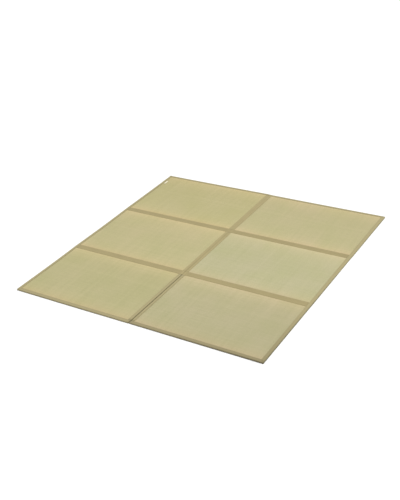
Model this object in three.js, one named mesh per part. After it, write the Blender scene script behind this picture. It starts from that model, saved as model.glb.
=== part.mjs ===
// A six-fold tatami mat, laid out flat: two columns of three rush-covered panels, joined by cloth
// hinge tapes and bound round the rim with a folded cloth binding. Between the two front panels
// the mat is slit, so that it folds in three and then in half.
// Millimetres. +X is the right, +Y the back, +Z up. The origin is on the floor under the middle.
import * as THREE from "three";

// The mat and its panels
const MAT_WIDTH = 1800;
const MAT_DEPTH = 1800;
const ROWS = 3;
const PANEL_THICKNESS = 12;
const RIM_THICKNESS = 8; // the panel's rim is squeezed to this height under every tape
const RIM_WIDTH = 23; // from the mat's edge, or from a hinge line, to the foot of the rounded shoulder
const SHOULDER_WIDTH = 28;
const SHOULDER_LINES = [5, 13, SHOULDER_WIDTH]; // where the round shoulder is faceted, from its foot

// The cloth
const CLOTH = 1.2; // binding and hinge tape, doubled cloth
const CLEARANCE = 0.3; // between any two pieces that lie on or beside each other
const BINDING_WIDTH = 22; // seen on top
const BINDING_LAP = 15; // turned in under the mat
const BINDING_ROUND = 1; // the fold at the mat's edge
const HINGE_WIDTH = 42;
const PARTING = 4; // between two panels under a hinge tape
const SLIT = 4; // between the two bindings of the slit
const SLIT_BINDING_WIDTH = 20;

// The blank label
const LABEL_LENGTH = 46;
const LABEL_FROM_EDGE = 31;
const LABEL_WIDTH = 14;
const LABEL_THICKNESS = 0.8;
const LABEL_MIDDLE_Y = 778;

// How unevenly the mat lies
const LEFT_DRAWN_IN = [2.7, 3.3, 1]; // each row's left edge where it bows most, front row first
const LEFT_BOWS_LATE = [1.5, 1, 1]; // 1 bows most halfway along the row, more nearer its back end
const LEFT_SLANT = 4.2; // the left edge's back end lies this far inside its front end
const RIGHT_STEP = [0, 1, 1.4]; // how far each row's right edge starts outside the row in front of it
const RIGHT_STEP_KEPT = [0, 0, 1]; // the share of that step that is left at the row's back end
const RIGHT_SLANT = 3; // the right edge's back end lies this far inside its front end
const FRONT_OUT = 1.2; // the front edge lies this far forward,
const FRONT_LEFT_OUT = 1.6; // its left end this much more,
const FRONT_LEFT_BOW = 0.9; // and its left half bows forward by this
const BACK_LEFT_OUT = 4.5; // the back left panel reaches this far back,
const BACK_RIGHT_SLANT = 3; // the back right panel falls short by this at its right end,
const BACK_DRAWN_IN = 1.3; // and each is drawn in by this between its ends
const CENTRE_RIGHT = [-1.4, 0.7, -0.4, 0]; // how far right the centre line lies at each edge and hinge
const HINGES_BACK = 3.4; // how far the rows have crept back in the middle of the mat

// Worked out from these
const HALF_WIDTH = MAT_WIDTH / 2;
const HALF_DEPTH = MAT_DEPTH / 2;
const ROW_DEPTH = MAT_DEPTH / ROWS;
const HINGE_FRONT_Y = ROW_DEPTH - HALF_DEPTH;
const HINGE_BACK_Y = 2 * ROW_DEPTH - HALF_DEPTH;
const TAPE_BOTTOM = RIM_THICKNESS + CLEARANCE;
const TAPE_TOP = TAPE_BOTTOM + CLOTH;
const LAP_RECESS = CLOTH + CLEARANCE; // the panel's underside stands this high over the turned-in cloth
const RECESS_SLOPE = 3;
const BOUND_EDGE = CLOTH + CLEARANCE; // from the binding's outer face to the panel's edge
const MITRE_CUT = CLEARANCE / Math.SQRT2; // how far each strip is cut back along its run, at a mitre

const rushGreen = { color: 0xbeb78d, roughness: 0.7, metalness: 0 };
const rushStraw = { color: 0xc2b98e, roughness: 0.7, metalness: 0 };
const bindingCloth = { color: 0xada07c, roughness: 0.85, metalness: 0 };
const hingeCloth = { color: 0xb3a67c, roughness: 0.85, metalness: 0 };
const labelCloth = { color: 0xe6dfc6, roughness: 0.8, metalness: 0 };

const mat = new THREE.Group();

function addPiece(name, geometry, finish) {
  const piece = new THREE.Mesh(geometry, new THREE.MeshStandardMaterial(finish));
  piece.name = name;
  mat.add(piece);
}

// Where a point of the neatly drawn mat really lies: the left edges are drawn in between the hinges,
// the right edges start outside each hinge, the sides slant in towards the back, the back edges are
// drawn in between their ends, and the back left panel reaches further back, with the step taken up
// across the centre hinge.
function settle(x, y) {
  const row = Math.min(ROWS - 1, Math.max(0, Math.floor((y + HALF_DEPTH) / ROW_DEPTH)));
  const alongRow = (y + HALF_DEPTH) / ROW_DEPTH - row;
  const alongMat = (y + HALF_DEPTH) / MAT_DEPTH;
  const toLeft = Math.max(0, -x / HALF_WIDTH);
  const toRight = Math.max(0, x / HALF_WIDTH);
  const toCentre = 1 - toLeft - toRight;
  const bow = Math.sin(Math.PI * alongRow ** LEFT_BOWS_LATE[row]);
  const leftIn = LEFT_DRAWN_IN[row] * bow + LEFT_SLANT * alongMat;
  const stepStart = Math.min(1, (alongRow * ROW_DEPTH) / RIM_WIDTH);
  const step = RIGHT_STEP[row] * stepStart * (1 - alongRow * (1 - RIGHT_STEP_KEPT[row]));
  const rightOut = step + RIGHT_SLANT * (1 - alongMat);
  const centreRight = CENTRE_RIGHT[row] * (1 - alongRow) + CENTRE_RIGHT[row + 1] * alongRow;
  const overSeam = Math.min(1, Math.max(0, (RIM_WIDTH - x) / (2 * RIM_WIDTH)));
  const frontOut = FRONT_OUT + FRONT_LEFT_OUT * toLeft + FRONT_LEFT_BOW * Math.sin(Math.PI * toLeft);
  const pastSeam = Math.max(0, Math.abs(x) - RIM_WIDTH) / (HALF_WIDTH - RIM_WIDTH);
  const fallsShort = BACK_RIGHT_SLANT * pastSeam * (1 - overSeam) + BACK_DRAWN_IN * Math.sin(Math.PI * pastSeam);
  const backOut = BACK_LEFT_OUT * overSeam - fallsShort;
  const rowShifts = [-frontOut * (1 - alongRow), 0, backOut * alongRow];
  const crept = HINGES_BACK * (1 - (y / HALF_DEPTH) ** 2);
  const shiftX = leftIn * toLeft + rightOut * toRight + centreRight * toCentre;
  return [x + shiftX, y + rowShifts[row] + crept];
}

// Turns a closed shape's faces outward where its points were mirrored into place.
function facingOutward(geometry) {
  const shape = geometry.index ? geometry.toNonIndexed() : geometry;
  const position = shape.attributes.position;
  const corner = [new THREE.Vector3(), new THREE.Vector3(), new THREE.Vector3()];
  let sixVolumes = 0;
  for (let i = 0; i < position.count; i += 3) {
    corner.forEach((point, k) => point.fromBufferAttribute(position, i + k));
    sixVolumes += corner[0].dot(corner[1].clone().cross(corner[2]));
  }
  if (sixVolumes < 0) {
    for (let i = 0; i < position.count; i += 3) {
      corner[1].fromBufferAttribute(position, i + 1);
      corner[2].fromBufferAttribute(position, i + 2);
      position.setXYZ(i + 1, corner[2].x, corner[2].y, corner[2].z);
      position.setXYZ(i + 2, corner[1].x, corner[1].y, corner[1].z);
    }
  }
  shape.computeVertexNormals();
  return shape;
}

// A slab whose grid lines stand at the given places, between a lower and an upper surface.
function griddedSlab(xLines, yLines, lower, upper) {
  const xSteps = xLines.length - 1;
  const ySteps = yLines.length - 1;
  const geometry = new THREE.BoxGeometry(1, 1, 1, xSteps, ySteps, 1);
  const position = geometry.attributes.position;
  for (let i = 0; i < position.count; i++) {
    const x = xLines[Math.round((position.getX(i) + 0.5) * xSteps)];
    const y = yLines[Math.round((position.getY(i) + 0.5) * ySteps)];
    const z = position.getZ(i) > 0 ? upper(x, y) : lower(x, y);
    position.setXYZ(i, ...settle(x, y), z);
  }
  return facingOutward(geometry);
}

// Lines across one row or column, from its rim's foot to the far rim's foot.
function linesBetween(from, to, middleSteps) {
  const shoulders = SHOULDER_LINES.map((distance) => RIM_WIDTH + distance);
  const inside = RIM_WIDTH + SHOULDER_WIDTH;
  const middle = [];
  for (let step = 1; step < middleSteps; step++) {
    middle.push(from + inside + ((to - from - 2 * inside) * step) / middleSteps);
  }
  return [
    from + RIM_WIDTH,
    ...shoulders.map((distance) => from + distance),
    ...middle,
    ...shoulders.map((distance) => to - distance).reverse(),
    to - RIM_WIDTH,
  ];
}

// Lines at a rim: a bound edge has the recess for the turned-in cloth, a hinge edge has none.
function rimLines(edge) {
  const lines = [edge.inset];
  if (edge.bound) lines.push(edge.line + BINDING_LAP, edge.line + BINDING_LAP + RECESS_SLOPE);
  return lines;
}

// The panel's top over a point that lies this far from the nearest edge or hinge line.
function panelTop(distance) {
  const rise = Math.min(1, Math.max(0, (distance - RIM_WIDTH) / SHOULDER_WIDTH));
  const roll = Math.sqrt(1 - (1 - rise) ** 2);
  return RIM_THICKNESS + (PANEL_THICKNESS - RIM_THICKNESS) * roll;
}

// The panel's underside, which clears the turned-in cloth along a bound edge.
function panelBottom(distance, edge) {
  if (!edge.bound) return 0;
  const down = Math.min(1, Math.max(0, (distance - edge.line - BINDING_LAP) / RECESS_SLOPE));
  return LAP_RECESS * (1 - down);
}

// Where a panel ends: inset is its edge and line the cloth's outer face, both measured inward
// from the mat's edge or from the hinge line.
const MAT_EDGE = { bound: true, line: 0, inset: BOUND_EDGE };
const SLIT_EDGE = { bound: true, line: SLIT / 2, inset: SLIT / 2 + BOUND_EDGE };
const HINGE_EDGE = { bound: false, line: 0, inset: PARTING / 2 };
const COLUMN_STEPS = 3;
const ROW_STEPS = 4;

function addPanel(name, column, row, finish) {
  const left = column === 0 ? -HALF_WIDTH : 0;
  const right = left + HALF_WIDTH;
  const front = row * ROW_DEPTH - HALF_DEPTH;
  const back = front + ROW_DEPTH;
  const seam = row === 0 ? SLIT_EDGE : HINGE_EDGE;
  const edges = {
    left: column === 0 ? MAT_EDGE : seam,
    right: column === 0 ? seam : MAT_EDGE,
    front: row === 0 ? MAT_EDGE : HINGE_EDGE,
    back: row === ROWS - 1 ? MAT_EDGE : HINGE_EDGE,
  };
  const xLines = [
    ...rimLines(edges.left).map((distance) => left + distance),
    ...linesBetween(left, right, COLUMN_STEPS),
    ...rimLines(edges.right).reverse().map((distance) => right - distance),
  ];
  const yLines = [
    ...rimLines(edges.front).map((distance) => front + distance),
    ...linesBetween(front, back, ROW_STEPS),
    ...rimLines(edges.back).reverse().map((distance) => back - distance),
  ];
  const upper = (x, y) => panelTop(Math.min(x - left, right - x, y - front, back - y));
  const lower = (x, y) => Math.max(
    panelBottom(x - left, edges.left),
    panelBottom(right - x, edges.right),
    panelBottom(y - front, edges.front),
    panelBottom(back - y, edges.back),
  );
  addPiece(name, griddedSlab(xLines, yLines, lower, upper), finish);
}

const ROW_NAMES = ["front", "middle", "back"];
ROW_NAMES.forEach((rowName, row) => {
  addPanel(`panel_${rowName}_left`, 0, row, row === 0 ? rushGreen : rushStraw);
  addPanel(`panel_${rowName}_right`, 1, row, row === 0 ? rushGreen : rushStraw);
});

// The binding's section: one cloth folded round the panel's rim, open towards the panel.
// Across is the distance inward from the fold's outer face.
function bindingSection(width) {
  const section = new THREE.Shape();
  section.moveTo(BINDING_ROUND, 0);
  section.lineTo(BINDING_LAP - CLEARANCE, 0);
  section.lineTo(BINDING_LAP - CLEARANCE, CLOTH);
  section.lineTo(CLOTH, CLOTH);
  section.lineTo(CLOTH, TAPE_BOTTOM);
  section.lineTo(width, TAPE_BOTTOM);
  section.lineTo(width, TAPE_TOP);
  section.lineTo(BINDING_ROUND, TAPE_TOP);
  section.lineTo(0, TAPE_TOP - BINDING_ROUND);
  section.lineTo(0, BINDING_ROUND);
  section.closePath();
  return section;
}

// A length of binding. The stations are places along the run; at a mitred end each point is cut
// back by its distance across. place(across, along) puts a point of the run on the mat.
function addBinding(name, width, stations, mitres, place) {
  const steps = stations.length - 1;
  const geometry = new THREE.ExtrudeGeometry(bindingSection(width), { depth: 1, steps, bevelEnabled: false });
  const position = geometry.attributes.position;
  for (let i = 0; i < position.count; i++) {
    const across = position.getX(i);
    const station = Math.round(position.getZ(i) * steps);
    const cutBack = across + MITRE_CUT;
    let along = stations[station];
    if (station === 0 && mitres.start) along += cutBack;
    if (station === steps && mitres.end) along -= cutBack;
    position.setXYZ(i, ...settle(...place(across, along)), position.getY(i));
  }
  addPiece(name, facingOutward(geometry), bindingCloth);
}

const rowStart = (row) => row * ROW_DEPTH - HALF_DEPTH;
const columnStart = (column) => column * HALF_WIDTH - HALF_WIDTH;
const rowLines = (row) => linesBetween(rowStart(row), rowStart(row + 1), ROW_STEPS);
const columnLines = (column) => linesBetween(columnStart(column), columnStart(column + 1), COLUMN_STEPS);

// Only the lines where the outline bends are kept: the shoulders' own lines aren't needed here.
const withoutShoulders = (lines) => [lines[0], lines[3], ...lines.slice(4, -4), lines.at(-4), lines.at(-1)];
const sideLines = [
  -HALF_DEPTH,
  ...withoutShoulders(rowLines(0)),
  HINGE_FRONT_Y,
  ...withoutShoulders(rowLines(1)),
  HINGE_BACK_Y,
  ...withoutShoulders(rowLines(2)),
  HALF_DEPTH,
];
const endLines = [
  -HALF_WIDTH,
  ...withoutShoulders(columnLines(0)),
  ...withoutShoulders(columnLines(1)),
  HALF_WIDTH,
];
const bothMitred = { start: true, end: true };

const atLeft = (across, along) => [across - HALF_WIDTH, along];
const atRight = (across, along) => [HALF_WIDTH - across, along];
const atBack = (across, along) => [along, HALF_DEPTH - across];
const atFront = (across, along) => [along, across - HALF_DEPTH];

addBinding("binding_left", BINDING_WIDTH, sideLines, bothMitred, atLeft);
addBinding("binding_right", BINDING_WIDTH, sideLines, bothMitred, atRight);
addBinding("binding_back", BINDING_WIDTH, endLines, bothMitred, atBack);

// The front binding is cut at the slit, and the slit's own bindings run back from it to the hinge.
const frontLeftLines = [-HALF_WIDTH, ...withoutShoulders(columnLines(0)), -SLIT / 2];
const frontRightLines = [SLIT / 2, ...withoutShoulders(columnLines(1)), HALF_WIDTH];
const slitStart = BINDING_WIDTH + CLEARANCE - HALF_DEPTH;
const slitEnd = HINGE_FRONT_Y - HINGE_WIDTH / 2 - CLEARANCE;
const slitLines = [slitStart, ...withoutShoulders(rowLines(0)).slice(1, -1), slitEnd];

addBinding("binding_front_left", BINDING_WIDTH, frontLeftLines, { start: true, end: false }, atFront);
addBinding("binding_front_right", BINDING_WIDTH, frontRightLines, { start: false, end: true }, atFront);
for (const [name, side] of [["binding_slit_left", -1], ["binding_slit_right", 1]]) {
  const place = (across, along) => [side * (SLIT / 2 + across), along];
  addBinding(name, SLIT_BINDING_WIDTH, slitLines, { start: false, end: false }, place);
}

// The hinge tapes lie on the squeezed rims of the panels that they join.
function addHinge(name, xLines, yLines) {
  addPiece(name, griddedSlab(xLines, yLines, () => TAPE_BOTTOM, () => TAPE_TOP), hingeCloth);
}

const hingeEnd = HALF_WIDTH - BINDING_WIDTH - CLEARANCE;
const acrossLines = [
  -hingeEnd,
  ...withoutShoulders(columnLines(0)).slice(1),
  ...withoutShoulders(columnLines(1)).slice(0, -1),
  hingeEnd,
];
for (const [name, y] of [["hinge_front", HINGE_FRONT_Y], ["hinge_back", HINGE_BACK_Y]]) {
  addHinge(name, acrossLines, [y - HINGE_WIDTH / 2, y, y + HINGE_WIDTH / 2]);
}
for (const [name, row] of [["hinge_centre_middle", 1], ["hinge_centre_back", 2]]) {
  const front = row * ROW_DEPTH - HALF_DEPTH + HINGE_WIDTH / 2 + CLEARANCE;
  const nextEdge = row === ROWS - 1 ? BINDING_WIDTH : HINGE_WIDTH / 2;
  const back = (row + 1) * ROW_DEPTH - HALF_DEPTH - nextEdge - CLEARANCE;
  const yLines = [front, ...withoutShoulders(rowLines(row)).slice(1, -1), back];
  addHinge(name, [-HINGE_WIDTH / 2, 0, HINGE_WIDTH / 2], yLines);
}

// The label is sewn flat to the back left panel's shoulder, beside the left binding.
const labelAcross = [LABEL_FROM_EDGE, RIM_WIDTH + SHOULDER_LINES[1], LABEL_FROM_EDGE + LABEL_WIDTH];
const labelBottom = (x) => panelTop(x + HALF_WIDTH) + CLEARANCE;
const labelSlab = griddedSlab(
  labelAcross.map((across) => across - HALF_WIDTH),
  [LABEL_MIDDLE_Y - LABEL_LENGTH / 2, LABEL_MIDDLE_Y + LABEL_LENGTH / 2],
  labelBottom,
  (x) => labelBottom(x) + LABEL_THICKNESS,
);
addPiece("label", labelSlab, labelCloth);

export default mat;
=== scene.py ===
import bmesh
import bpy
import math
from mathutils import Matrix, Vector, noise


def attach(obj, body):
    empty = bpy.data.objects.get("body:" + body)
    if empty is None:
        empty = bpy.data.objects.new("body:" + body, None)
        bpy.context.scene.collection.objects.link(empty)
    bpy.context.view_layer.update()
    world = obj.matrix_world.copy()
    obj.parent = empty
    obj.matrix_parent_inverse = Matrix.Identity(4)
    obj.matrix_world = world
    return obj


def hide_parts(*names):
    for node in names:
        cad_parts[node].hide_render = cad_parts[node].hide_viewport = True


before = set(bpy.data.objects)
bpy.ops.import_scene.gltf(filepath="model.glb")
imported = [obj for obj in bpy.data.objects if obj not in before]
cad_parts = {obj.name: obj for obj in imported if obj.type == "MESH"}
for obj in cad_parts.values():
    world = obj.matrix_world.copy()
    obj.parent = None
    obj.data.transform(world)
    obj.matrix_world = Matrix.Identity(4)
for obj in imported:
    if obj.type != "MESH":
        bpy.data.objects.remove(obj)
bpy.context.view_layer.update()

# The six panels. Each is a thin board in a cover of woven rush, squeezed flat round its rim where
# the tapes are sewn over it and swelling to a soft rounded shoulder beside them. The cover's ribs
# run from front to back, over paired warp threads, and its strands run from side to side.
MM = 0.001
MAT_SIDE = 1800 * MM
HALF = MAT_SIDE / 2
ROWS = 3
ROW_DEPTH = MAT_SIDE / ROWS
CROWN = 12 * MM
RIM_TOP = 8 * MM
RIM_WIDTH = 23 * MM
RECESS = 1.5 * MM
RECESS_WIDTH = 15 * MM
RECESS_SLOPE = 3 * MM
SLIT_HALF = 2 * MM

# The three kinds of edge, each as the line of the binding's outer face and the panel's own edge
CLOTH_ROOM = 2.4 * MM
MAT_EDGE = (0, CLOTH_ROOM)
SLIT_EDGE = (SLIT_HALF, SLIT_HALF + CLOTH_ROOM)
HINGE_EDGE = (None, 2 * MM)

# Where the shoulders start, inward from the mat's edge or from the line where panels meet
HINGE_FOOT = 21.4 * MM
BINDING_FOOT = 22.3 * MM
RIGHT_OF_SLIT_FOOT = 27 * MM

# The shoulders' swelling, the share of it that comes at once beside the tape, and the soft hollows
SHOULDER = 28 * MM
SHOULDER_SOFTNESS = 0.85
BULGE = 0.32
BULGE_WIDTH = 1 * MM
SLACK = 0.5 * MM
HOLLOWS_TO_A_METRE = 5

# The weave
RIB = 7.5 * MM
RIB_HEIGHT = 0.28 * MM
RIB_ROUNDNESS = 0.6
STRAND = 1.3 * MM
STREAKS_TO_A_METRE = (45, 1.6, 1)

# How strongly strands, patches and streaks turn from green to straw
STRAND_TONE = 0.5
PATCH_TONE = 2.4
STREAK_TONE = 0.7

# How bright and rough the gaps between strands are, with painted shade in the gaps and painted light on the
# strands' crowns, and what changes that
GAP_SHADE = 0.82
GAP_ROUGHNESS = 0.75
STRAND_LIGHTER = 0.26
STRAND_SMOOTHER = 0.15
UNLIKE_STRANDS = 0.1
UNLIKE_STREAKS = 0.1
# How much paler the faded shoulders and the painted light make the cover, and how much warmer yellowing
# makes it
FADING_AND_PAINTED_LIGHT = 0.12
YELLOWING = 0.11

# The mesh
RIB_STEPS = 5
RIM_STEP = 12 * MM
SHOULDER_STEP = 2.4 * MM
MIDDLE_STEP = 24 * MM
SAME_PLACE = 0.01 * MM

# Fading, a painted highlight and yellowing along a panel's front and back shoulders
PALER_REACH = 60 * MM
PALER_AT_FRONT = 0.45
PALER_AT_BACK = 1.1
YELLOWED_FRONT_REACH = 35 * MM
YELLOWED_BACK_REACH = 80 * MM
YELLOWED_AT_BACK = 0.85

# How unevenly the mat lies
LEFT_DRAWN_IN = (2.7 * MM, 3.3 * MM, 1 * MM)
LEFT_BOWS_LATE = (1.5, 1, 1)
LEFT_SLANT = 4.2 * MM
RIGHT_STEP = (0, 1 * MM, 1.4 * MM)
RIGHT_STEP_KEPT = (0, 0, 1)
RIGHT_SLANT = 3 * MM
FRONT_OUT = 1.2 * MM
FRONT_LEFT_OUT = 1.6 * MM
FRONT_LEFT_BOW = 0.9 * MM
BACK_LEFT_OUT = 4.5 * MM
BACK_RIGHT_SLANT = 3 * MM
BACK_DRAWN_IN = 1.3 * MM
CENTRE_RIGHT = (-1.4 * MM, 0.7 * MM, -0.4 * MM, 0)
HINGES_BACK = 3.4 * MM


def settle(x, y):
    """Where a point of the neatly drawn mat lies: drawn in, slanted and stepped as in the CAD model.

    The left edges are drawn in between the hinges, the right edges step out behind each hinge, both
    sides slant in towards the back, and the back left panel reaches further back.
    """
    row = min(ROWS - 1, max(0, math.floor((y + HALF) / ROW_DEPTH)))
    along_row = max(0, (y + HALF) / ROW_DEPTH - row)
    along_mat = (y + HALF) / MAT_SIDE
    to_left = max(0, -x / HALF)
    to_right = max(0, x / HALF)
    to_centre = 1 - to_left - to_right
    bow = math.sin(math.pi * along_row ** LEFT_BOWS_LATE[row])
    left_in = LEFT_DRAWN_IN[row] * bow + LEFT_SLANT * along_mat
    step_start = min(1, along_row * ROW_DEPTH / RIM_WIDTH)
    step = RIGHT_STEP[row] * step_start * (1 - along_row * (1 - RIGHT_STEP_KEPT[row]))
    right_out = step + RIGHT_SLANT * (1 - along_mat)
    centre_right = CENTRE_RIGHT[row] * (1 - along_row) + CENTRE_RIGHT[row + 1] * along_row
    over_seam = min(1, max(0, (RIM_WIDTH - x) / (2 * RIM_WIDTH)))
    front_out = FRONT_OUT + FRONT_LEFT_OUT * to_left + FRONT_LEFT_BOW * math.sin(math.pi * to_left)
    past_seam = max(0, abs(x) - RIM_WIDTH) / (HALF - RIM_WIDTH)
    falls_short = BACK_RIGHT_SLANT * past_seam * (1 - over_seam)
    falls_short += BACK_DRAWN_IN * math.sin(math.pi * past_seam)
    back_out = BACK_LEFT_OUT * over_seam - falls_short
    row_shifts = (-front_out * (1 - along_row), 0, back_out * along_row)
    crept = HINGES_BACK * (1 - (y / HALF) ** 2)
    shift_x = left_in * to_left + right_out * to_right + centre_right * to_centre
    return x + shift_x, y + row_shifts[row] + crept


def spread(start, end, step):
    """Places from start to end, evenly spaced by about one step."""
    count = max(1, round((end - start) / step))
    return [start + (end - start) * k / count for k in range(count + 1)]


def grid_on_lines(shape, x_lines, y_lines):
    """A flat grid with its lines at the given places. Returns each vertex with its two line numbers."""
    across, deep = len(x_lines) - 1, len(y_lines) - 1
    bmesh.ops.create_grid(shape, x_segments=across, y_segments=deep, size=1)
    numbered = {}
    for vertex in shape.verts:
        i = round((vertex.co.x + 1) / 2 * across)
        j = round((vertex.co.y + 1) / 2 * deep)
        vertex.co = (x_lines[i], y_lines[j], 0)
        numbered[vertex] = (i, j)
    return numbered


def swelling(beyond_tape):
    """How far the panel has risen from rim to crown, 0 to 1: at once beside the tape, then softly."""
    bulge = min(1, max(0, beyond_tape / BULGE_WIDTH))
    rise = min(1, max(0, beyond_tape / SHOULDER))
    return BULGE * bulge + (1 - BULGE) * (1 - (1 - rise) ** 2) ** SHOULDER_SOFTNESS


def lines_over_panel(edge_start, foot_start, foot_end, edge_end):
    """Grid lines across a panel: close together over its shoulders, and wide apart between them."""
    lines = spread(edge_start, foot_start, RIM_STEP)
    lines += spread(foot_start + BULGE_WIDTH, foot_start + SHOULDER, SHOULDER_STEP)
    lines += spread(foot_start + SHOULDER, foot_end - SHOULDER, MIDDLE_STEP)[1:]
    lines += spread(foot_end - SHOULDER, foot_end - BULGE_WIDTH, SHOULDER_STEP)[1:]
    return lines + spread(foot_end, edge_end, RIM_STEP)


def rib_lines(edge_start, edge_end):
    """Grid lines that follow the ribs, so that each groove has a line of its own."""
    step = RIB / RIB_STEPS
    clear_of_edge = 0.3
    first = math.ceil(edge_start / step + clear_of_edge)
    last = math.floor(edge_end / step - clear_of_edge)
    return [edge_start] + [k * step for k in range(first, last + 1)] + [edge_end]


def rush_panel(name, column, row, painted_light_to_right, painted_light_to_back):
    """One panel. The last two say how steeply painted light and shade change its cover's brightness from
    left to right and from front to back.
    """
    left = (column - 1) * HALF
    right = left + HALF
    front = row * ROW_DEPTH - HALF
    back = front + ROW_DEPTH
    seam = SLIT_EDGE if row == 0 else HINGE_EDGE
    kinds = (
        MAT_EDGE if column == 0 else seam,
        seam if column == 0 else MAT_EDGE,
        MAT_EDGE if row == 0 else HINGE_EDGE,
        MAT_EDGE if row == ROWS - 1 else HINGE_EDGE,
    )
    insets = [inset for _, inset in kinds]
    feet = [HINGE_FOOT if line is None else BINDING_FOOT for line, _ in kinds]
    if row == 0 and column == 1:
        feet[0] = RIGHT_OF_SLIT_FOOT

    shape = bmesh.new()
    x_lines = rib_lines(left + insets[0], right - insets[1])
    y_lines = lines_over_panel(front + insets[2], front + feet[2], back - feet[3], back - insets[3])
    grid_on_lines(shape, x_lines, y_lines)
    faded_and_painted_light = shape.verts.layers.float.new("faded_and_painted_light")
    yellowed = shape.verts.layers.float.new("yellowed")
    # Each panel has a pattern of hollows of its own.
    pattern = 7 * row + column
    for vertex in shape.verts:
        x, y = vertex.co.x, vertex.co.y
        from_front, from_back = y - front - feet[2], back - y - feet[3]
        swell = swelling(min(x - left - feet[0], right - x - feet[1], from_front, from_back))
        groove = abs(math.sin(math.pi * x / RIB)) ** RIB_ROUNDNESS
        slack = noise.noise(Vector((x * HOLLOWS_TO_A_METRE, y * HOLLOWS_TO_A_METRE, pattern))) * SLACK
        vertex.co.z = RIM_TOP + (CROWN - RIM_TOP + slack) * swell - (1 - groove) * RIB_HEIGHT * swell
        from_front, from_back = max(0, from_front), max(0, from_back)
        # Paler near the front and back shoulders, partly faded rush and partly a painted highlight; the
        # slopes across and deep are painted light and shade.
        across, deep = (x - left) / HALF - 0.5, (y - front) / ROW_DEPTH - 0.5
        at_ends = PALER_AT_FRONT * math.exp(-from_front / PALER_REACH)
        at_ends += PALER_AT_BACK * math.exp(-from_back / PALER_REACH)
        vertex[faded_and_painted_light] = at_ends + painted_light_to_right * across + painted_light_to_back * deep
        vertex[yellowed] = math.exp(-from_front / YELLOWED_FRONT_REACH)
        vertex[yellowed] += YELLOWED_AT_BACK * math.exp(-from_back / YELLOWED_BACK_REACH)

    # The rim turns down, in under the turned-in binding, and down again to the flat underside.
    turns = ((0, RECESS), (RECESS_WIDTH, RECESS), (RECESS_WIDTH + RECESS_SLOPE, 0))
    for width, height in turns:
        pulled = [inset if line is None else max(inset, line + width) for line, inset in kinds]
        rim = [edge for edge in shape.edges if edge.is_boundary]
        grown = bmesh.ops.extrude_edge_only(shape, edges=rim)["geom"]
        for vertex in (item for item in grown if isinstance(item, bmesh.types.BMVert)):
            vertex.co.x = min(max(vertex.co.x, left + pulled[0]), right - pulled[1])
            vertex.co.y = min(max(vertex.co.y, front + pulled[2]), back - pulled[3])
            vertex.co.z = height
    bmesh.ops.remove_doubles(shape, verts=shape.verts, dist=SAME_PLACE)
    bmesh.ops.contextual_create(shape, geom=[edge for edge in shape.edges if edge.is_boundary])
    for vertex in shape.verts:
        vertex.co.x, vertex.co.y = settle(vertex.co.x, vertex.co.y)
    bmesh.ops.recalc_face_normals(shape, faces=shape.faces)
    return finished(shape, name)


def finished(shape, name):
    """The shape as an object in the scene, shaded smooth."""
    mesh = bpy.data.meshes.new(name)
    shape.to_mesh(mesh)
    shape.free()
    mesh.shade_smooth()
    piece = bpy.data.objects.new(name, mesh)
    bpy.context.scene.collection.objects.link(piece)
    return piece


def colour(red, green, blue):
    """A colour given as it looks, 0 to 255, as the shader wants it."""
    return tuple((c / 255 / 12.92 if c <= 10 else ((c / 255 + 0.055) / 1.055) ** 2.4)
                 for c in (red, green, blue)) + (1,)


def add_node(tree, kind, links=None, values=None, **settings):
    """A node with its settings made, its sockets set and its links drawn."""
    node = tree.nodes.new(kind)
    for name, value in settings.items():
        setattr(node, name, value)
    for socket, value in (values or {}).items():
        node.inputs[socket].default_value = value
    for socket, source in (links or {}).items():
        tree.links.new(source, node.inputs[socket])
    return node


def worked_out(tree, operation, first, second=None, third=None):
    """One Math node. Each of its numbers is a plain number or another node's output."""
    node = tree.nodes.new("ShaderNodeMath")
    node.operation = operation
    for place, number in enumerate((first, second, third)):
        if isinstance(number, bpy.types.NodeSocket):
            tree.links.new(number, node.inputs[place])
        elif number is not None:
            node.inputs[place].default_value = number
    return node.outputs[0]


def waved(tree, turns):
    """The sine of half turns: it crosses nought at each whole number."""
    return worked_out(tree, "SINE", worked_out(tree, "MULTIPLY", turns, math.pi))


def swung(tree, value, swing, middle):
    """A value of 0 to 1 spread over this much, with 0.5 at the middle given."""
    return worked_out(tree, "MULTIPLY_ADD", value, swing, middle - swing / 2)


def shaded_by(tree, shade, value, swing):
    """The shade times a factor that swings about one by this much, as the value goes from 0 to 1."""
    return worked_out(tree, "MULTIPLY", shade, swung(tree, value, swing, 1))


def changed_by(tree, shade, amount, strength):
    """The shade made lighter or darker by this strength where the amount is 1, and as it was at 0."""
    return worked_out(tree, "MULTIPLY", shade, worked_out(tree, "MULTIPLY_ADD", amount, strength, 1))


def mottled(tree, place, scale, detail):
    """A soft random pattern, 0 to 1, over the places given."""
    texture = add_node(tree, "ShaderNodeTexNoise", {"Vector": place}, {"Scale": scale, "Detail": detail})
    return texture.outputs["Fac"]


def mixed(tree, factor, first, second, blend="MIX"):
    """One colour mix. Factor and colours are plain values or other nodes' outputs."""
    node = tree.nodes.new("ShaderNodeMix")
    node.data_type = "RGBA"
    node.blend_type = blend
    # Sockets 0, 6 and 7 are the factor and the two colours of a colour mix, and output 2 its colour.
    for place, value in ((0, factor), (6, first), (7, second)):
        if isinstance(value, bpy.types.NodeSocket):
            tree.links.new(value, node.inputs[place])
        else:
            node.inputs[place].default_value = value
    return node.outputs[2]


def new_group(name, inputs, outputs):
    """An empty shader group with named sockets, given as name: (kind, value) and name: kind."""
    tree = bpy.data.node_groups.new(name, "ShaderNodeTree")
    for socket, (kind, value) in inputs.items():
        made = tree.interface.new_socket(socket, in_out="INPUT", socket_type=kind)
        made.default_value = value
    for socket, kind in outputs.items():
        tree.interface.new_socket(socket, in_out="OUTPUT", socket_type=kind)
    return tree, tree.nodes.new("NodeGroupInput").outputs, tree.nodes.new("NodeGroupOutput").inputs


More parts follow.
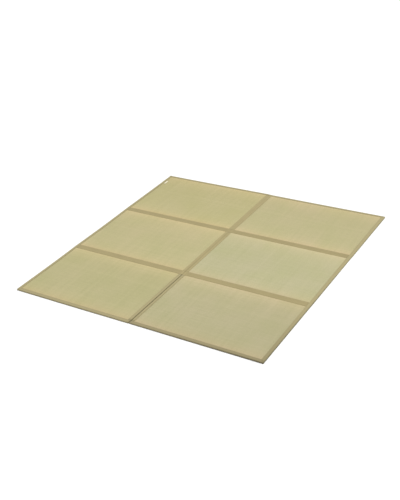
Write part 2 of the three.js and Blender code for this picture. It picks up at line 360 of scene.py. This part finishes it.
def rush_weave():
    """Rush strands side by side over paired warp threads, each rib's strands between its neighbours'."""
    tree, given, result = new_group(
        "Rush weave",
        {
            "Green rush": ("NodeSocketColor", colour(188, 182, 136)),
            "Straw rush": ("NodeSocketColor", colour(196, 186, 142)),
            "Faded and painted light": ("NodeSocketFloat", 0),
            "Yellowed": ("NodeSocketFloat", 0),
        },
        {"Color": "NodeSocketColor", "Height": "NodeSocketFloat", "Roughness": "NodeSocketFloat"},
    )
    place = add_node(tree, "ShaderNodeTexCoord").outputs["Object"]
    axes = add_node(tree, "ShaderNodeSeparateXYZ", {"Vector": place}).outputs
    ribs = worked_out(tree, "DIVIDE", axes["X"], RIB)
    parity = worked_out(tree, "FLOORED_MODULO", worked_out(tree, "FLOOR", ribs), 2)
    half_strand = worked_out(tree, "MULTIPLY", parity, 0.5)
    strands = worked_out(tree, "ADD", worked_out(tree, "DIVIDE", axes["Y"], STRAND), half_strand)
    hump = waved(tree, worked_out(tree, "FRACT", strands))
    ridge = worked_out(tree, "POWER", waved(tree, worked_out(tree, "FRACT", ribs)), 0.5)

    # Strands, broad patches and long streaks along the ribs are greener or more straw-coloured.
    number = worked_out(tree, "MULTIPLY_ADD", worked_out(tree, "FLOOR", strands), 2, parity)
    by_strand = add_node(tree, "ShaderNodeTexWhiteNoise", {"W": number}, noise_dimensions="1D")
    chance = by_strand.outputs["Value"]
    patches = mottled(tree, place, scale=4, detail=3)
    drawn_out = add_node(tree, "ShaderNodeMapping", {"Vector": place}, {"Scale": STREAKS_TO_A_METRE})
    streaks = mottled(tree, drawn_out.outputs[0], scale=1, detail=2)
    tone = swung(tree, chance, STRAND_TONE, 0)
    tone = worked_out(tree, "ADD", tone, swung(tree, patches, PATCH_TONE, 0.5))
    tone = worked_out(tree, "ADD", tone, swung(tree, streaks, STREAK_TONE, 0))
    blended = mixed(tree, tone, given["Green rush"], given["Straw rush"])

    # Strands differ a little in brightness, with painted shade in the gaps between them and painted light
    # on their crowns.
    # The cover is paler along its front and back shoulders, partly faded and partly a painted highlight,
    # has slopes of painted light and shade over it, and has yellowed along those shoulders.
    deep = worked_out(tree, "MULTIPLY", hump, ridge)
    shade = worked_out(tree, "MULTIPLY_ADD", deep, STRAND_LIGHTER, GAP_SHADE)
    shade = shaded_by(tree, shade, chance, UNLIKE_STRANDS)
    shade = shaded_by(tree, shade, streaks, UNLIKE_STREAKS)
    shade = changed_by(tree, shade, given["Faded and painted light"], FADING_AND_PAINTED_LIGHT)
    warmer = changed_by(tree, shade, given["Yellowed"], YELLOWING)
    shaded = add_node(tree, "ShaderNodeCombineXYZ", {"X": warmer, "Y": shade, "Z": shade}).outputs[0]
    tree.links.new(mixed(tree, 1, blended, shaded, "MULTIPLY"), result["Color"])
    tree.links.new(deep, result["Height"])
    roughness = worked_out(tree, "MULTIPLY_ADD", deep, -STRAND_SMOOTHER, GAP_ROUGHNESS)
    tree.links.new(roughness, result["Roughness"])
    return tree


WEAVE = rush_weave()


def rush_finish(name, green, straw):
    """Woven rush in two tones, with the relief of its strands."""
    material = bpy.data.materials.new(name)
    material.use_nodes = True
    tree = material.node_tree
    shader = tree.nodes["Principled BSDF"]
    weave = add_node(tree, "ShaderNodeGroup", node_tree=WEAVE)
    weave.inputs["Green rush"].default_value = green
    weave.inputs["Straw rush"].default_value = straw
    for socket, attribute in (("Faded and painted light", "faded_and_painted_light"), ("Yellowed", "yellowed")):
        amount = add_node(tree, "ShaderNodeAttribute", attribute_name=attribute).outputs["Fac"]
        tree.links.new(amount, weave.inputs[socket])
    relief = add_node(tree, "ShaderNodeBump", {"Height": weave.outputs["Height"]},
                      {"Strength": 0.6, "Distance": 0.3 * MM})
    tree.links.new(weave.outputs["Color"], shader.inputs["Base Color"])
    tree.links.new(weave.outputs["Roughness"], shader.inputs["Roughness"])
    tree.links.new(relief.outputs[0], shader.inputs["Normal"])
    shader.inputs["Specular IOR Level"].default_value = 0.3
    return material


# Each panel's green and straw rush, and its slopes of painted light and shade from left to right and from
# front to back
PANEL_TONES = {
    "front_left": ((175, 170, 123), (181, 173, 130), 0, 0.05),
    "front_right": ((173, 168, 126), (179, 171, 134), -0.45, 0.42),
    "middle_left": ((179, 173, 126), (186, 176, 133), 0.37, -0.26),
    "middle_right": ((179, 176, 132), (184, 178, 140), 0.16, 0),
    "back_left": ((178, 171, 121), (183, 174, 129), 0.32, -0.5),
    "back_right": ((179, 173, 127), (185, 175, 134), 0, -0.6),
}
for place_number, (place_name, (green, straw, *painted_light_slopes)) in enumerate(PANEL_TONES.items()):
    row, column = divmod(place_number, 2)
    panel = rush_panel(f"rush_{place_name}", column, row, *painted_light_slopes)
    panel.data.materials.append(rush_finish(f"rush_{place_name}", colour(*green), colour(*straw)))
    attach(panel, "root")
    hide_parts(f"panel_{place_name}")

# The hinge tapes. Each is a straight khaki cotton tape sewn along both sides to the squeezed rims
# of the panels that it joins. It lies flat, sunk between their shoulders, dips a little along the
# line where it folds and is creased there, with painted shade along the fold, most of all just behind the
# slit.
CLOTH = 1.2 * MM
TAPE_TOP = 9.5 * MM
HINGE_HALF = 21 * MM
CLEAR = 0.3 * MM
BINDING_WIDTH = 22 * MM
STITCH_IN = 3.5 * MM
SEAM_DIP = 0.25 * MM
SEAM_DIP_WIDTH = 1.5 * MM
HINGE_DIP = 0.5 * MM
HINGE_DIP_WIDTH = 7 * MM
HINGE_RIPPLE = 0.25 * MM
RIPPLES_ALONG = 12
TAPE_RIPPLES_ACROSS = 30
TAPE_PATTERN = 3
ALONG_STEP = 6 * MM
TAPE_STEP = 1.4 * MM

# Creases, the painted shade along them and the lightening beside them. Reaches are measured from
# the fold, and fades run along it from the tape's front end.
CREASE_WIDTH = 2.2 * MM
CREASE_REACH = 4 * CREASE_WIDTH
CREASE_FADE = 130 * MM
FOLD_SHADE_REACH = 20 * MM
LIGHTER_BESIDE_REACH = 18 * MM
CREASE_SHADE_WIDTH = 4.5 * MM
CREASE_SHADE_FADE = 230 * MM

# The weave: how bright the gaps between its threads are as painted shade, how much painted light the crowns
# get, and what else changes that brightness
THREAD = 0.9 * MM
THREAD_GAP_SHADE = 0.9
THREAD_LIGHTER = 0.16
FINE_MOTTLING = 0.16
BROAD_MOTTLING = 0.14
PAINTED_SHADING_STRENGTH = -0.1


def strip_of_cloth(name, along, across, place, shading_at):
    """A strip of cloth on grid lines, along and across.

    place gives a point of its outer face, and shading_at how much painted shade it has there, lighter where
    that is below nought.
    """
    shape = bmesh.new()
    lengths = [0]
    for number in range(1, len(across)):
        lengths.append(lengths[-1] + (Vector(across[number]) - Vector(across[number - 1])).length)
    painted_shading = shape.verts.layers.float.new("painted_shading")
    numbered = grid_on_lines(shape, along, range(len(across)))
    measure = shape.loops.layers.uv.new("cloth")
    for face in shape.faces:
        for loop in face.loops:
            i, j = numbered[loop.vert]
            loop[measure].uv = (along[i], lengths[j])
    for vertex, (i, j) in numbered.items():
        vertex.co = place(along[i], *across[j])
        vertex[painted_shading] = shading_at(along[i], *across[j])
    shape.normal_update()
    topmost = max(shape.faces, key=lambda face: face.calc_center_median().z)
    if topmost.normal.z < 0:
        bmesh.ops.reverse_faces(shape, faces=shape.faces)
    piece = finished(shape, name)
    body = piece.modifiers.new("Cloth", "SOLIDIFY")
    body.thickness = CLOTH
    body.offset = -1
    return piece


def cloth_weave():
    """A plain cotton weave on the cloth's own measure, with painted light on the crowns where the threads
    cross and painted shade between them.
    """
    tree, given, result = new_group(
        "Cloth weave",
        {
            "Cloth": ("NodeSocketColor", colour(180, 168, 126)),
            "Thread width": ("NodeSocketFloat", THREAD),
            "Painted shading": ("NodeSocketFloat", 0),
        },
        {"Color": "NodeSocketColor", "Height": "NodeSocketFloat"},
    )
    measure = add_node(tree, "ShaderNodeUVMap", uv_map="cloth").outputs[0]
    axes = add_node(tree, "ShaderNodeSeparateXYZ", {"Vector": measure}).outputs
    waves = []
    for axis in "XY":
        waves.append(waved(tree, worked_out(tree, "DIVIDE", axes[axis], given["Thread width"])))
    crossing = worked_out(tree, "MULTIPLY", *waves)
    height = worked_out(tree, "MULTIPLY_ADD", crossing, 0.5, 0.5)
    place = add_node(tree, "ShaderNodeTexCoord").outputs["Object"]
    fine = mottled(tree, place, scale=420, detail=2)
    broad = mottled(tree, place, scale=9, detail=3)
    # Painted light on the crowns where the threads cross, and painted shade in the gaps between them.
    shade = worked_out(tree, "MULTIPLY_ADD", height, THREAD_LIGHTER, THREAD_GAP_SHADE)
    shade = shaded_by(tree, shade, fine, FINE_MOTTLING)
    shade = shaded_by(tree, shade, broad, BROAD_MOTTLING)
    # Painted shade where the cloth's painted shading is above nought, and lighter where it is below.
    shade = changed_by(tree, shade, given["Painted shading"], PAINTED_SHADING_STRENGTH)
    shaded = add_node(tree, "ShaderNodeCombineXYZ", {"X": shade, "Y": shade, "Z": shade}).outputs[0]
    tree.links.new(mixed(tree, 1, given["Cloth"], shaded, "MULTIPLY"), result["Color"])
    tree.links.new(worked_out(tree, "ADD", height, fine), result["Height"])
    return tree


COTTON = cloth_weave()


def cotton_finish(name, cloth, thread=THREAD):
    """Matt cotton cloth with a faint sheen."""
    material = bpy.data.materials.new(name)
    material.use_nodes = True
    tree = material.node_tree
    shader = tree.nodes["Principled BSDF"]
    weave = add_node(tree, "ShaderNodeGroup", node_tree=COTTON)
    weave.inputs["Cloth"].default_value = cloth
    weave.inputs["Thread width"].default_value = thread
    painted_shading = add_node(tree, "ShaderNodeAttribute", attribute_name="painted_shading").outputs["Fac"]
    tree.links.new(painted_shading, weave.inputs["Painted shading"])
    relief = add_node(tree, "ShaderNodeBump", {"Height": weave.outputs["Height"]},
                      {"Strength": 0.5, "Distance": 0.2 * MM})
    tree.links.new(weave.outputs["Color"], shader.inputs["Base Color"])
    tree.links.new(relief.outputs[0], shader.inputs["Normal"])
    shader.inputs["Roughness"].default_value = 0.85
    shader.inputs["Specular IOR Level"].default_value = 0.25
    shader.inputs["Sheen Weight"].default_value = 0.1
    return material


def bell(distance, width):
    """1 on a line and next to nothing two widths away from it."""
    return math.exp(-((distance / width) ** 2))


def tape_face(offset, run, crease):
    """The height of a tape's face this far off its middle line: dipped along the fold and the seams."""
    fold = bell(offset, HINGE_DIP_WIDTH) * HINGE_DIP + crease
    seam = bell(HINGE_HALF - abs(offset) - STITCH_IN, SEAM_DIP_WIDTH) * SEAM_DIP
    ripple = noise.noise(Vector((offset * TAPE_RIPPLES_ACROSS, run * RIPPLES_ALONG, TAPE_PATTERN)))
    return TAPE_TOP - fold - seam + ripple * HINGE_RIPPLE * (1 - abs(offset) / HINGE_HALF)


TAPE_LINES = [(offset, 0) for offset in spread(-HINGE_HALF, HINGE_HALF, TAPE_STEP)]
# The tapes are copies of one cotton in different brightnesses that paint light and shade on them: the cross
# tapes are darker than the centre tapes.
TAPE_FINISHES = {
    "hinge_front": cotton_finish("hinge_cross_cloth", colour(163, 150, 108)),
    "hinge_centre_middle": cotton_finish("hinge_centre_middle_cloth", colour(174, 161, 117)),
    "hinge_centre_back": cotton_finish("hinge_centre_back_cloth", colour(171, 158, 115)),
}
TAPE_FINISHES["hinge_back"] = TAPE_FINISHES["hinge_front"]


def fold_shading(offset):
    """Painted shade on a folded tape: most along its middle line, and hardly any at its edges."""
    return max(0, 1 - abs(offset) / FOLD_SHADE_REACH)


def cross_hinge(name, hinge_y, crease_depth, fold_shade, crease_shade, lighter_beside):
    """A tape across the mat, creased where the mat folds in half, with painted shade in the crease and
    lighter beside it.
    """
    def place(run, offset, _):
        crease = crease_depth * bell(run, CREASE_WIDTH)
        return (*settle(run, hinge_y + offset), tape_face(offset, run, crease))

    def shading_at(run, offset, _):
        # Painted shade along the fold and in the crease, and lighter beside the crease.
        at_crease = crease_shade * bell(run, CREASE_SHADE_WIDTH) - lighter_beside * bell(run, LIGHTER_BESIDE_REACH)
        return fold_shade * fold_shading(offset) + at_crease

    end = HALF - BINDING_WIDTH - CLEAR
    along = spread(-end, -CREASE_REACH, ALONG_STEP)
    along += spread(-CREASE_REACH, CREASE_REACH, CREASE_WIDTH / 2)[1:]
    along += spread(CREASE_REACH, end, ALONG_STEP)[1:]
    return strip_of_cloth(name, along, TAPE_LINES, place, shading_at)


def centre_hinge(name, start, end, crease_depth, extra_at_start, fold_shade, crease_shade_at_start):
    """A tape along the centre seam, creased all along, and more sharply at its start, with painted shade in
    the crease there.
    """
    def place(run, offset, _):
        depth = crease_depth + extra_at_start * max(0, 1 - (run - start) / CREASE_FADE)
        return (*settle(offset, run), tape_face(offset, run, depth * bell(offset, CREASE_WIDTH)))

    def shading_at(run, offset, _):
        crease_shade = crease_shade_at_start * max(0, 1 - (run - start) / CREASE_SHADE_FADE)
        return fold_shade * fold_shading(offset) + crease_shade * bell(offset, CREASE_SHADE_WIDTH)

    return strip_of_cloth(name, spread(start, end, ALONG_STEP), TAPE_LINES, place, shading_at)


HINGE_FRONT_Y = ROW_DEPTH - HALF
HINGE_BACK_Y = HALF - ROW_DEPTH
middle_start, middle_end = HINGE_FRONT_Y + HINGE_HALF + CLEAR, HINGE_BACK_Y - HINGE_HALF - CLEAR
back_start, back_end = HINGE_BACK_Y + HINGE_HALF + CLEAR, HALF - BINDING_WIDTH - CLEAR
HINGES = {
    "hinge_front": cross_hinge(
        "tape_front", HINGE_FRONT_Y, crease_depth=2.0 * MM, fold_shade=0.35, crease_shade=1.9, lighter_beside=1.5
    ),
    "hinge_back": cross_hinge(
        "tape_back", HINGE_BACK_Y, crease_depth=1.2 * MM, fold_shade=0.7, crease_shade=0.6, lighter_beside=0.7
    ),
    "hinge_centre_middle": centre_hinge(
        "tape_centre_middle",
        middle_start,
        middle_end,
        crease_depth=1.8 * MM,
        extra_at_start=0.6 * MM,
        fold_shade=1.65,
        crease_shade_at_start=0.8,
    ),
    "hinge_centre_back": centre_hinge(
        "tape_centre_back",
        back_start,
        back_end,
        crease_depth=1.0 * MM,
        extra_at_start=0,
        fold_shade=0.8,
        crease_shade_at_start=0,
    ),
}
PANELS_JOINED = {
    "hinge_front": ("front_left", "front_right", "middle_left", "middle_right"),
    "hinge_back": ("middle_left", "middle_right", "back_left", "back_right"),
    "hinge_centre_middle": ("middle_left", "middle_right"),
    "hinge_centre_back": ("back_left", "back_right"),
}
for node, tape in HINGES.items():
    tape.data.materials.append(TAPE_FINISHES[node])
    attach(tape, "root")
    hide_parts(node)
    reach = [[vertex.co[axis] for vertex in tape.data.vertices] for axis in (0, 1)]
    length = max(max(places) - min(places) for places in reach)
    under = [f"rush_{place_name}" for place_name in PANELS_JOINED[node]]

# The binding. Khaki cotton cloth folded round the rim and round the sides of the slit, turned in
# underneath and sewn through near its inner edge. It is mitred at the corners, with painted shade on
# its side near the front right corner and inside the slit, and on its top near that corner; the front
# binding stops at the slit, and the slit's binding butts against it.
BINDING_LAP = 14.7 * MM
FOLD_RADIUS = 3.2 * MM
FOLD_STEPS = 6
MITRE_GAP = 0.2 * MM
SLIT_BINDING_WIDTH = 20 * MM
TOP_SHADE_REACH = 600 * MM
SIDE_SHADE_NEAR_CORNER = 3.8
SIDE_SHADE_REACH = 1000 * MM
EDGE_SHADE_WIDTH = 5 * MM
SIDE_TOP = TAPE_TOP - 1 * MM
BINDING_SLOPE = 0.6 * MM
BINDING_RIPPLE = 0.3 * MM
BINDING_RIPPLES_ACROSS = 40
BINDING_STEP = 2 * MM
AT_END = 1 * MM
CORNER_ROOM = 2 * MM


def binding_path(width):
    """The cloth's outer face from under the mat, round the fold and over the top, as (across, height)."""
    path = [(BINDING_LAP, 0), (BINDING_LAP / 2, 0)]
    for height, start in ((FOLD_RADIUS, 0), (TAPE_TOP - FOLD_RADIUS, 90)):
        for step in range(FOLD_STEPS + 1):
            turn = math.radians(start + 90 * step / FOLD_STEPS)
            path.append((FOLD_RADIUS * (1 - math.sin(turn)), height - FOLD_RADIUS * math.cos(turn)))
    return path + [(across, TAPE_TOP) for across in spread(FOLD_RADIUS, width, BINDING_STEP)[1:]]


def edge_binding(name, start, end, width, mitred, place_on_mat, side_shade, top_shade):
    """A length of binding, cut back at 45 degrees at its mitred ends.

    The last two say how much painted shade its side has all along, lighter where below nought, and its top
    at the mat's front right corner.
    """
    # The length of its name picks the pattern of its ripples.
    pattern = len(name)

    def place(run, across, height):
        if mitred[0] and run < start + AT_END:
            run += across + MITRE_GAP
        if mitred[1] and run > end - AT_END:
            run -= across + MITRE_GAP
        if height > TAPE_TOP / 2:
            seam = bell(width - across - STITCH_IN, SEAM_DIP_WIDTH) * SEAM_DIP
            ripple = noise.noise(Vector((run * RIPPLES_ALONG, across * BINDING_RIPPLES_ACROSS, pattern)))
            ripple *= BINDING_RIPPLE
            slope = (across / width - 0.5) * BINDING_SLOPE
            unevenness = slope + ripple * min(1, (width - across) / width) - seam
            height += unevenness * min(1, across / FOLD_RADIUS)
        return (*settle(*place_on_mat(run, across)), height)

    def shading_at(run, across, height):
        # Painted shade on the side, more towards the front right corner, and on the top near that corner.
        x, y = place_on_mat(run, across)
        from_corner = math.hypot(HALF - x, HALF + y)
        if height < SIDE_TOP or across < EDGE_SHADE_WIDTH:
            return side_shade + SIDE_SHADE_NEAR_CORNER * max(0, 1 - from_corner / SIDE_SHADE_REACH)
        return top_shade * max(0, 1 - from_corner / TOP_SHADE_REACH)

    corner = width + CORNER_ROOM
    along = [start] + spread(start + corner, end - corner, ALONG_STEP) + [end]
    return strip_of_cloth(name, along, binding_path(width), place, shading_at)


def at_left(run, across):
    return across - HALF, run


def at_right(run, across):
    return HALF - across, run


def at_back(run, across):
    return run, HALF - across


def at_front(run, across):
    return run, across - HALF


def at_slit_left(run, across):
    return -SLIT_HALF - across, run


def at_slit_right(run, across):
    return SLIT_HALF + across, run


slit_start, slit_end = BINDING_WIDTH + CLEAR - HALF, HINGE_FRONT_Y - HINGE_HALF - CLEAR

# Each length of binding: its start and end, its width, which ends are mitred, and where it lies
BINDINGS = {
    "left": (-HALF, HALF, BINDING_WIDTH, (True, True), at_left),
    "right": (-HALF, HALF, BINDING_WIDTH, (True, True), at_right),
    "back": (-HALF, HALF, BINDING_WIDTH, (True, True), at_back),
    "front_left": (-HALF, -SLIT_HALF, BINDING_WIDTH, (True, False), at_front),
    "front_right": (SLIT_HALF, HALF, BINDING_WIDTH, (False, True), at_front),
    "slit_left": (slit_start, slit_end, SLIT_BINDING_WIDTH, (False, False), at_slit_left),
    "slit_right": (slit_start, slit_end, SLIT_BINDING_WIDTH, (False, False), at_slit_right),
}

# The colour of each, lighter and darker copies of one cloth that paint light and shade on the lengths, how
# much painted shade its side has, and how much painted shade its top has at the front right corner
BINDING_LOOKS = {
    "left": ((163, 152, 113), 0, 0),
    "right": ((169, 158, 117), 0, 2.6),
    "back": ((160, 149, 110), 0, 0),
    "front_left": ((162, 151, 113), 0, 0),
    "front_right": ((152, 141, 106), -0.5, 0.9),
    "slit_left": ((166, 155, 115), 0.5, 0),
    "slit_right": ((166, 155, 115), 0.5, 0),
}
PANELS_BOUND = {
    "left": ("front_left", "middle_left", "back_left"),
    "right": ("front_right", "middle_right", "back_right"),
    "back": ("back_left", "back_right"),
    "front_left": ("front_left",),
    "front_right": ("front_right",),
    "slit_left": ("front_left",),
    "slit_right": ("front_right",),
}
for place_name, (start, end, width, mitred, place_on_mat) in BINDINGS.items():
    tone, *painted_shades = BINDING_LOOKS[place_name]
    binding = edge_binding(f"edging_{place_name}", start, end, width, mitred, place_on_mat, *painted_shades)
    binding.data.materials.append(cotton_finish(f"edging_{place_name}", colour(*tone)))
    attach(binding, "root")
    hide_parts(f"binding_{place_name}")
    under = [f"rush_{panel_name}" for panel_name in PANELS_BOUND[place_name]]

# The stitching. One row of lockstitch in khaki thread a few millimetres inside each edge of a
# hinge tape and inside the inner edge of the binding, pulled a little into the cloth.
STITCH_PITCH = 4.4 * MM
STITCH_LENGTH = 3.2 * MM
STITCH_WIDTH = 0.75 * MM
STITCH_RISE = 0.42 * MM
STITCH_SUNK = 0.12 * MM
STITCH_ROUND = 0.16 * MM
TWIST_SCALE = 260
TWIST_SHADE = 0.72


def stitch_row(shape, start, end, lie):
    """A straight row of stitches from start to end of a run; lie(run, side) is a place on the mat."""
    row = bmesh.new()
    size = Matrix.Diagonal((STITCH_LENGTH, STITCH_WIDTH, STITCH_RISE, 1))
    bmesh.ops.create_cube(row, size=1, matrix=Matrix.Translation((start + STITCH_PITCH, 0, 0)) @ size)
    bmesh.ops.bevel(
        row, geom=list(row.edges), offset=STITCH_ROUND, affect="EDGES", segments=1, profile=0.5, material=-1
    )
    for vertex in row.verts:
        vertex.co.z += TAPE_TOP - STITCH_SUNK
    count = int((end - start) / STITCH_PITCH) - 2
    stitch = list(row.verts) + list(row.edges) + list(row.faces)
    bmesh.ops.spin(
        row,
        geom=stitch,
        cent=(0, 0, 0),
        axis=(0, 0, 1),
        dvec=(STITCH_PITCH, 0, 0),
        angle=0,
        steps=count,
        use_duplicate=True,
    )
    for vertex in row.verts:
        vertex.co.x, vertex.co.y = settle(*lie(vertex.co.x, vertex.co.y))
    made = bpy.data.meshes.new("row")
    row.to_mesh(made)
    row.free()
    shape.from_mesh(made)
    bpy.data.meshes.remove(made)


def thread_finish(name, thread):
    """Twisted cotton thread, seen as fine slanting bands."""
    material = bpy.data.materials.new(name)
    material.use_nodes = True
    tree = material.node_tree
    shader = tree.nodes["Principled BSDF"]
    place = add_node(tree, "ShaderNodeTexCoord").outputs["Object"]
    twist = add_node(
        tree,
        "ShaderNodeTexWave",
        {"Vector": place},
        {"Scale": TWIST_SCALE, "Distortion": 0.5},
        bands_direction="DIAGONAL",
    )
    darker = tuple(TWIST_SHADE * channel for channel in thread[:3]) + (1,)
    tree.links.new(mixed(tree, twist.outputs["Fac"], darker, thread), shader.inputs["Base Color"])
    shader.inputs["Roughness"].default_value = 0.7
    return material


HINGE_THREAD = thread_finish("hinge_thread", colour(140, 128, 92))
RIM_THREAD = thread_finish("binding_thread", colour(138, 127, 94))


def sewn(name, rows, thread):
    """Makes the rows of stitches along one tape or length of binding, as one piece."""
    shape = bmesh.new()
    for start, end, lie in rows:
        stitch_row(shape, start, end, lie)
    bmesh.ops.recalc_face_normals(shape, faces=shape.faces)
    piece = finished(shape, name)
    piece.data.materials.append(thread)
    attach(piece, "root")


HINGE_SEAM = HINGE_HALF - STITCH_IN
cross_end = HALF - BINDING_WIDTH
for name, hinge_y in (("stitches_hinge_front", HINGE_FRONT_Y), ("stitches_hinge_back", HINGE_BACK_Y)):
    rows = [(-cross_end, cross_end, lambda run, side, y=hinge_y + seam: (run, y + side))
            for seam in (-HINGE_SEAM, HINGE_SEAM)]
    sewn(name, rows, HINGE_THREAD)
for name, start, end in (
    ("stitches_centre_middle", HINGE_FRONT_Y + HINGE_HALF, HINGE_BACK_Y - HINGE_HALF),
    ("stitches_centre_back", HINGE_BACK_Y + HINGE_HALF, HALF - BINDING_WIDTH),
):
    rows = [(start, end, lambda run, side, x=seam: (x + side, run)) for seam in (-HINGE_SEAM, HINGE_SEAM)]
    sewn(name, rows, HINGE_THREAD)
for place_name, (start, end, width, mitred, place_on_mat) in BINDINGS.items():
    first = start + BINDING_WIDTH if mitred[0] else start
    last = end - BINDING_WIDTH if mitred[1] else end
    seam = width - STITCH_IN
    rows = [(first, last, lambda run, side, on=place_on_mat, seam=seam: on(run, seam + side))]
    sewn(f"stitches_{place_name}", rows, RIM_THREAD)

# The label. A short off-white ribbon, blank, sewn flat to the back left panel's shoulder, beside
# the left binding and near the back corner. Its ends curl up a little.
LABEL_LENGTH = 46 * MM
LABEL_MIDDLE_Y = 778 * MM
LABEL_FROM_EDGE = 31 * MM
LABEL_WIDTH = 14 * MM
LABEL_CLOTH = 0.8 * MM
LABEL_CURL = 0.5 * MM
LABEL_THREAD = 0.5 * MM
LABEL_ALONG_STEP = 3 * MM
LABEL_ACROSS_STEP = 1.5 * MM


def label_face(run, across, _):
    """A place on the ribbon's outer face: it follows the panel's shoulder and curls up at its ends."""
    panel = RIM_TOP + (CROWN - RIM_TOP) * swelling(across - BINDING_FOOT)
    curl = LABEL_CURL * abs((run - LABEL_MIDDLE_Y) / (LABEL_LENGTH / 2)) ** 3
    return (*settle(across - HALF, run), panel + CLEAR + LABEL_CLOTH + curl)


def unshaded(*_):
    """The ribbon has no painted shading anywhere."""
    return 0


label_along = spread(LABEL_MIDDLE_Y - LABEL_LENGTH / 2, LABEL_MIDDLE_Y + LABEL_LENGTH / 2, LABEL_ALONG_STEP)
label_across = spread(LABEL_FROM_EDGE, LABEL_FROM_EDGE + LABEL_WIDTH, LABEL_ACROSS_STEP)
label_lines = [(across, 0) for across in label_across]
label = strip_of_cloth("label_ribbon", label_along, label_lines, label_face, unshaded)
label.modifiers["Cloth"].thickness = LABEL_CLOTH
label.data.materials.append(cotton_finish("label_ribbon", colour(232, 224, 197), LABEL_THREAD))
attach(label, "root")
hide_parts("label")

# The floor. Plain and nearly white, wide enough to fill the picture.
FLOOR_REACH = 40
FLOOR_COLOUR = (0.93, 0.93, 0.93, 1)

floor_shape = bmesh.new()
bmesh.ops.create_grid(floor_shape, x_segments=1, y_segments=1, size=FLOOR_REACH)
floor = finished(floor_shape, "floor")
floor_finish = bpy.data.materials.new("floor")
floor_finish.use_nodes = True
floor_shader = floor_finish.node_tree.nodes["Principled BSDF"]
floor_shader.inputs["Base Color"].default_value = FLOOR_COLOUR
floor_shader.inputs["Roughness"].default_value = 0.9
floor_shader.inputs["Specular IOR Level"].default_value = 0
floor.data.materials.append(floor_finish)

# The light. One broad soft lamp high behind the mat, and pale light from all round.
SKY_STRENGTH = 0.3
LAMP_STRENGTH = 2.9
LAMP_BREADTH = math.radians(50)
LAMP_LEAN = math.radians(-12)

world = bpy.data.worlds.new("studio")
bpy.context.scene.world = world
world.use_nodes = True
world.node_tree.nodes["Background"].inputs["Color"].default_value = (1, 1, 1, 1)
world.node_tree.nodes["Background"].inputs["Strength"].default_value = SKY_STRENGTH
lamp = bpy.data.lights.new("key", "SUN")
lamp.energy = LAMP_STRENGTH
lamp.angle = LAMP_BREADTH
key = bpy.data.objects.new("key", lamp)
key.rotation_euler = (LAMP_LEAN, 0, 0)
bpy.context.scene.collection.objects.link(key)
bpy.context.scene.view_settings.view_transform = "Standard"

# The camera, at the photograph's angle: to the front right of the mat, looking down at it.
AZIMUTH = math.radians(34.709)
ELEVATION = math.radians(30.108)
ROLL = math.radians(-5.885)
CAMERA_DISTANCE = 5.7093
TARGET = Vector((-0.0648, 0.0077, 0))
FOCAL_PIXELS = 845.8
PICTURE_HEIGHT = 500
SENSOR = 36

lens = bpy.data.cameras.new("camera")
lens.sensor_width = SENSOR
lens.lens = FOCAL_PIXELS / PICTURE_HEIGHT * SENSOR
camera = bpy.data.objects.new("camera", lens)
backward = Vector((
    math.sin(AZIMUTH) * math.cos(ELEVATION),
    -math.cos(AZIMUTH) * math.cos(ELEVATION),
    math.sin(ELEVATION),
))
level = Vector((0, 0, 1)).cross(backward).normalized()
upward = backward.cross(level)
rightward = math.cos(ROLL) * level + math.sin(ROLL) * upward
tilted = math.cos(ROLL) * upward - math.sin(ROLL) * level
turn = Matrix((rightward, tilted, backward)).transposed().to_4x4()
camera.matrix_world = Matrix.Translation(TARGET + backward * CAMERA_DISTANCE) @ turn
bpy.context.scene.collection.objects.link(camera)
bpy.context.scene.camera = camera
